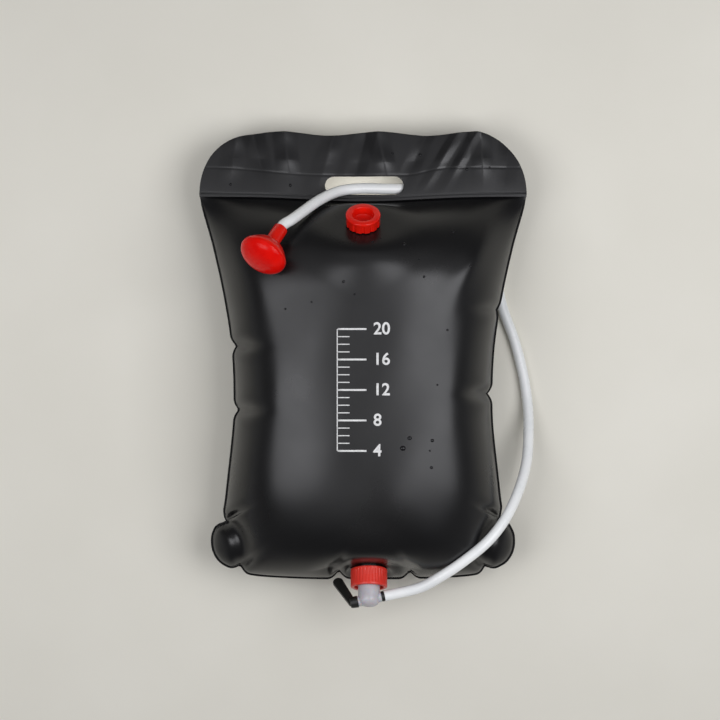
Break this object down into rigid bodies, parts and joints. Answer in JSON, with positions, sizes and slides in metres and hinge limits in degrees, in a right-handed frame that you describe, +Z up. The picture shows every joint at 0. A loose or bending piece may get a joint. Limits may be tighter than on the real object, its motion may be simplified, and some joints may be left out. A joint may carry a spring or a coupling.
{
  "type": "camp shower bag",
  "caption": "Water-filled film bag with a handle flap, a screw-capped filler and a lever tap, whose hose runs through the handle slot to a round shower rose.",
  "frame": {"origin": "centre of the bag's outline, with its handle flap and tap, on the floor that it lies on", "axes": "+Z up, +Y towards the handle flap, +X towards the hose's loop"},
  "size_m": [0.4115, 0.5787, 0.2056],
  "materials": {
    "film": "satin",
    "water": "gloss",
    "neck": "satin",
    "washer": "matte",
    "cap": "gloss",
    "tap": "satin",
    "lever": "matte",
    "hose": "satin",
    "rose": "gloss",
    "stiffener": "matte"
  },
  "bodies": {
    "bag": {"front_panel": "film", "back_panel": "film", "header_front": "film", "header_back": "film", "handle_stiffener": "stiffener", "water_fill": "water", "filler_neck": "neck", "outlet_neck": "neck", "outlet_seal": "washer", "tap_body": "tap", "hose_collar": "lever", "shower_hose": "hose", "rose_body": "rose", "rose_face": "rose"},
    "washer": {"filler_seal": "washer"},
    "cap": {"filler_cap": "cap"},
    "slip_ring": {"nut_slip_ring": "tap"},
    "nut": {"outlet_nut": "cap"},
    "tap_rotor": {"tap_spindle": "lever", "tap_oring": "washer", "tap_lever": "lever"}
  },
  "joints": [
    {"name": "filler_lift", "type": "slide", "parent": "bag", "child": "washer", "axis": [0, 0.7431, 0.6691], "range_m": [0, 0.006]},
    {"name": "filler_turn", "type": "hinge", "parent": "washer", "child": "cap", "pos_m": [0, 0.172, 0.12628], "axis": [0, 0.7431, 0.6691], "range_deg": [0, 540]},
    {"name": "nut_back_off", "type": "slide", "parent": "bag", "child": "slip_ring", "axis": [0, -0.9511, 0.309], "range_m": [0, 0.0025]},
    {"name": "nut_turn", "type": "hinge", "parent": "slip_ring", "child": "nut", "pos_m": [0.0071, -0.2423, 0.088], "axis": [0, -0.9511, 0.309], "range_deg": [0, 360]},
    {"name": "tap_lever_turn", "type": "hinge", "parent": "bag", "child": "tap_rotor", "pos_m": [0.0071, -0.27939, 0.10005], "axis": [-0.9781, -0.1977, 0.0642], "range_deg": [0, 90]}
  ],
  "couplings": [
    {"joint": "filler_lift", "follows": "filler_turn", "m_per_rad": 0.000636},
    {"joint": "nut_back_off", "follows": "nut_turn", "m_per_rad": 0.000397}
  ]
}
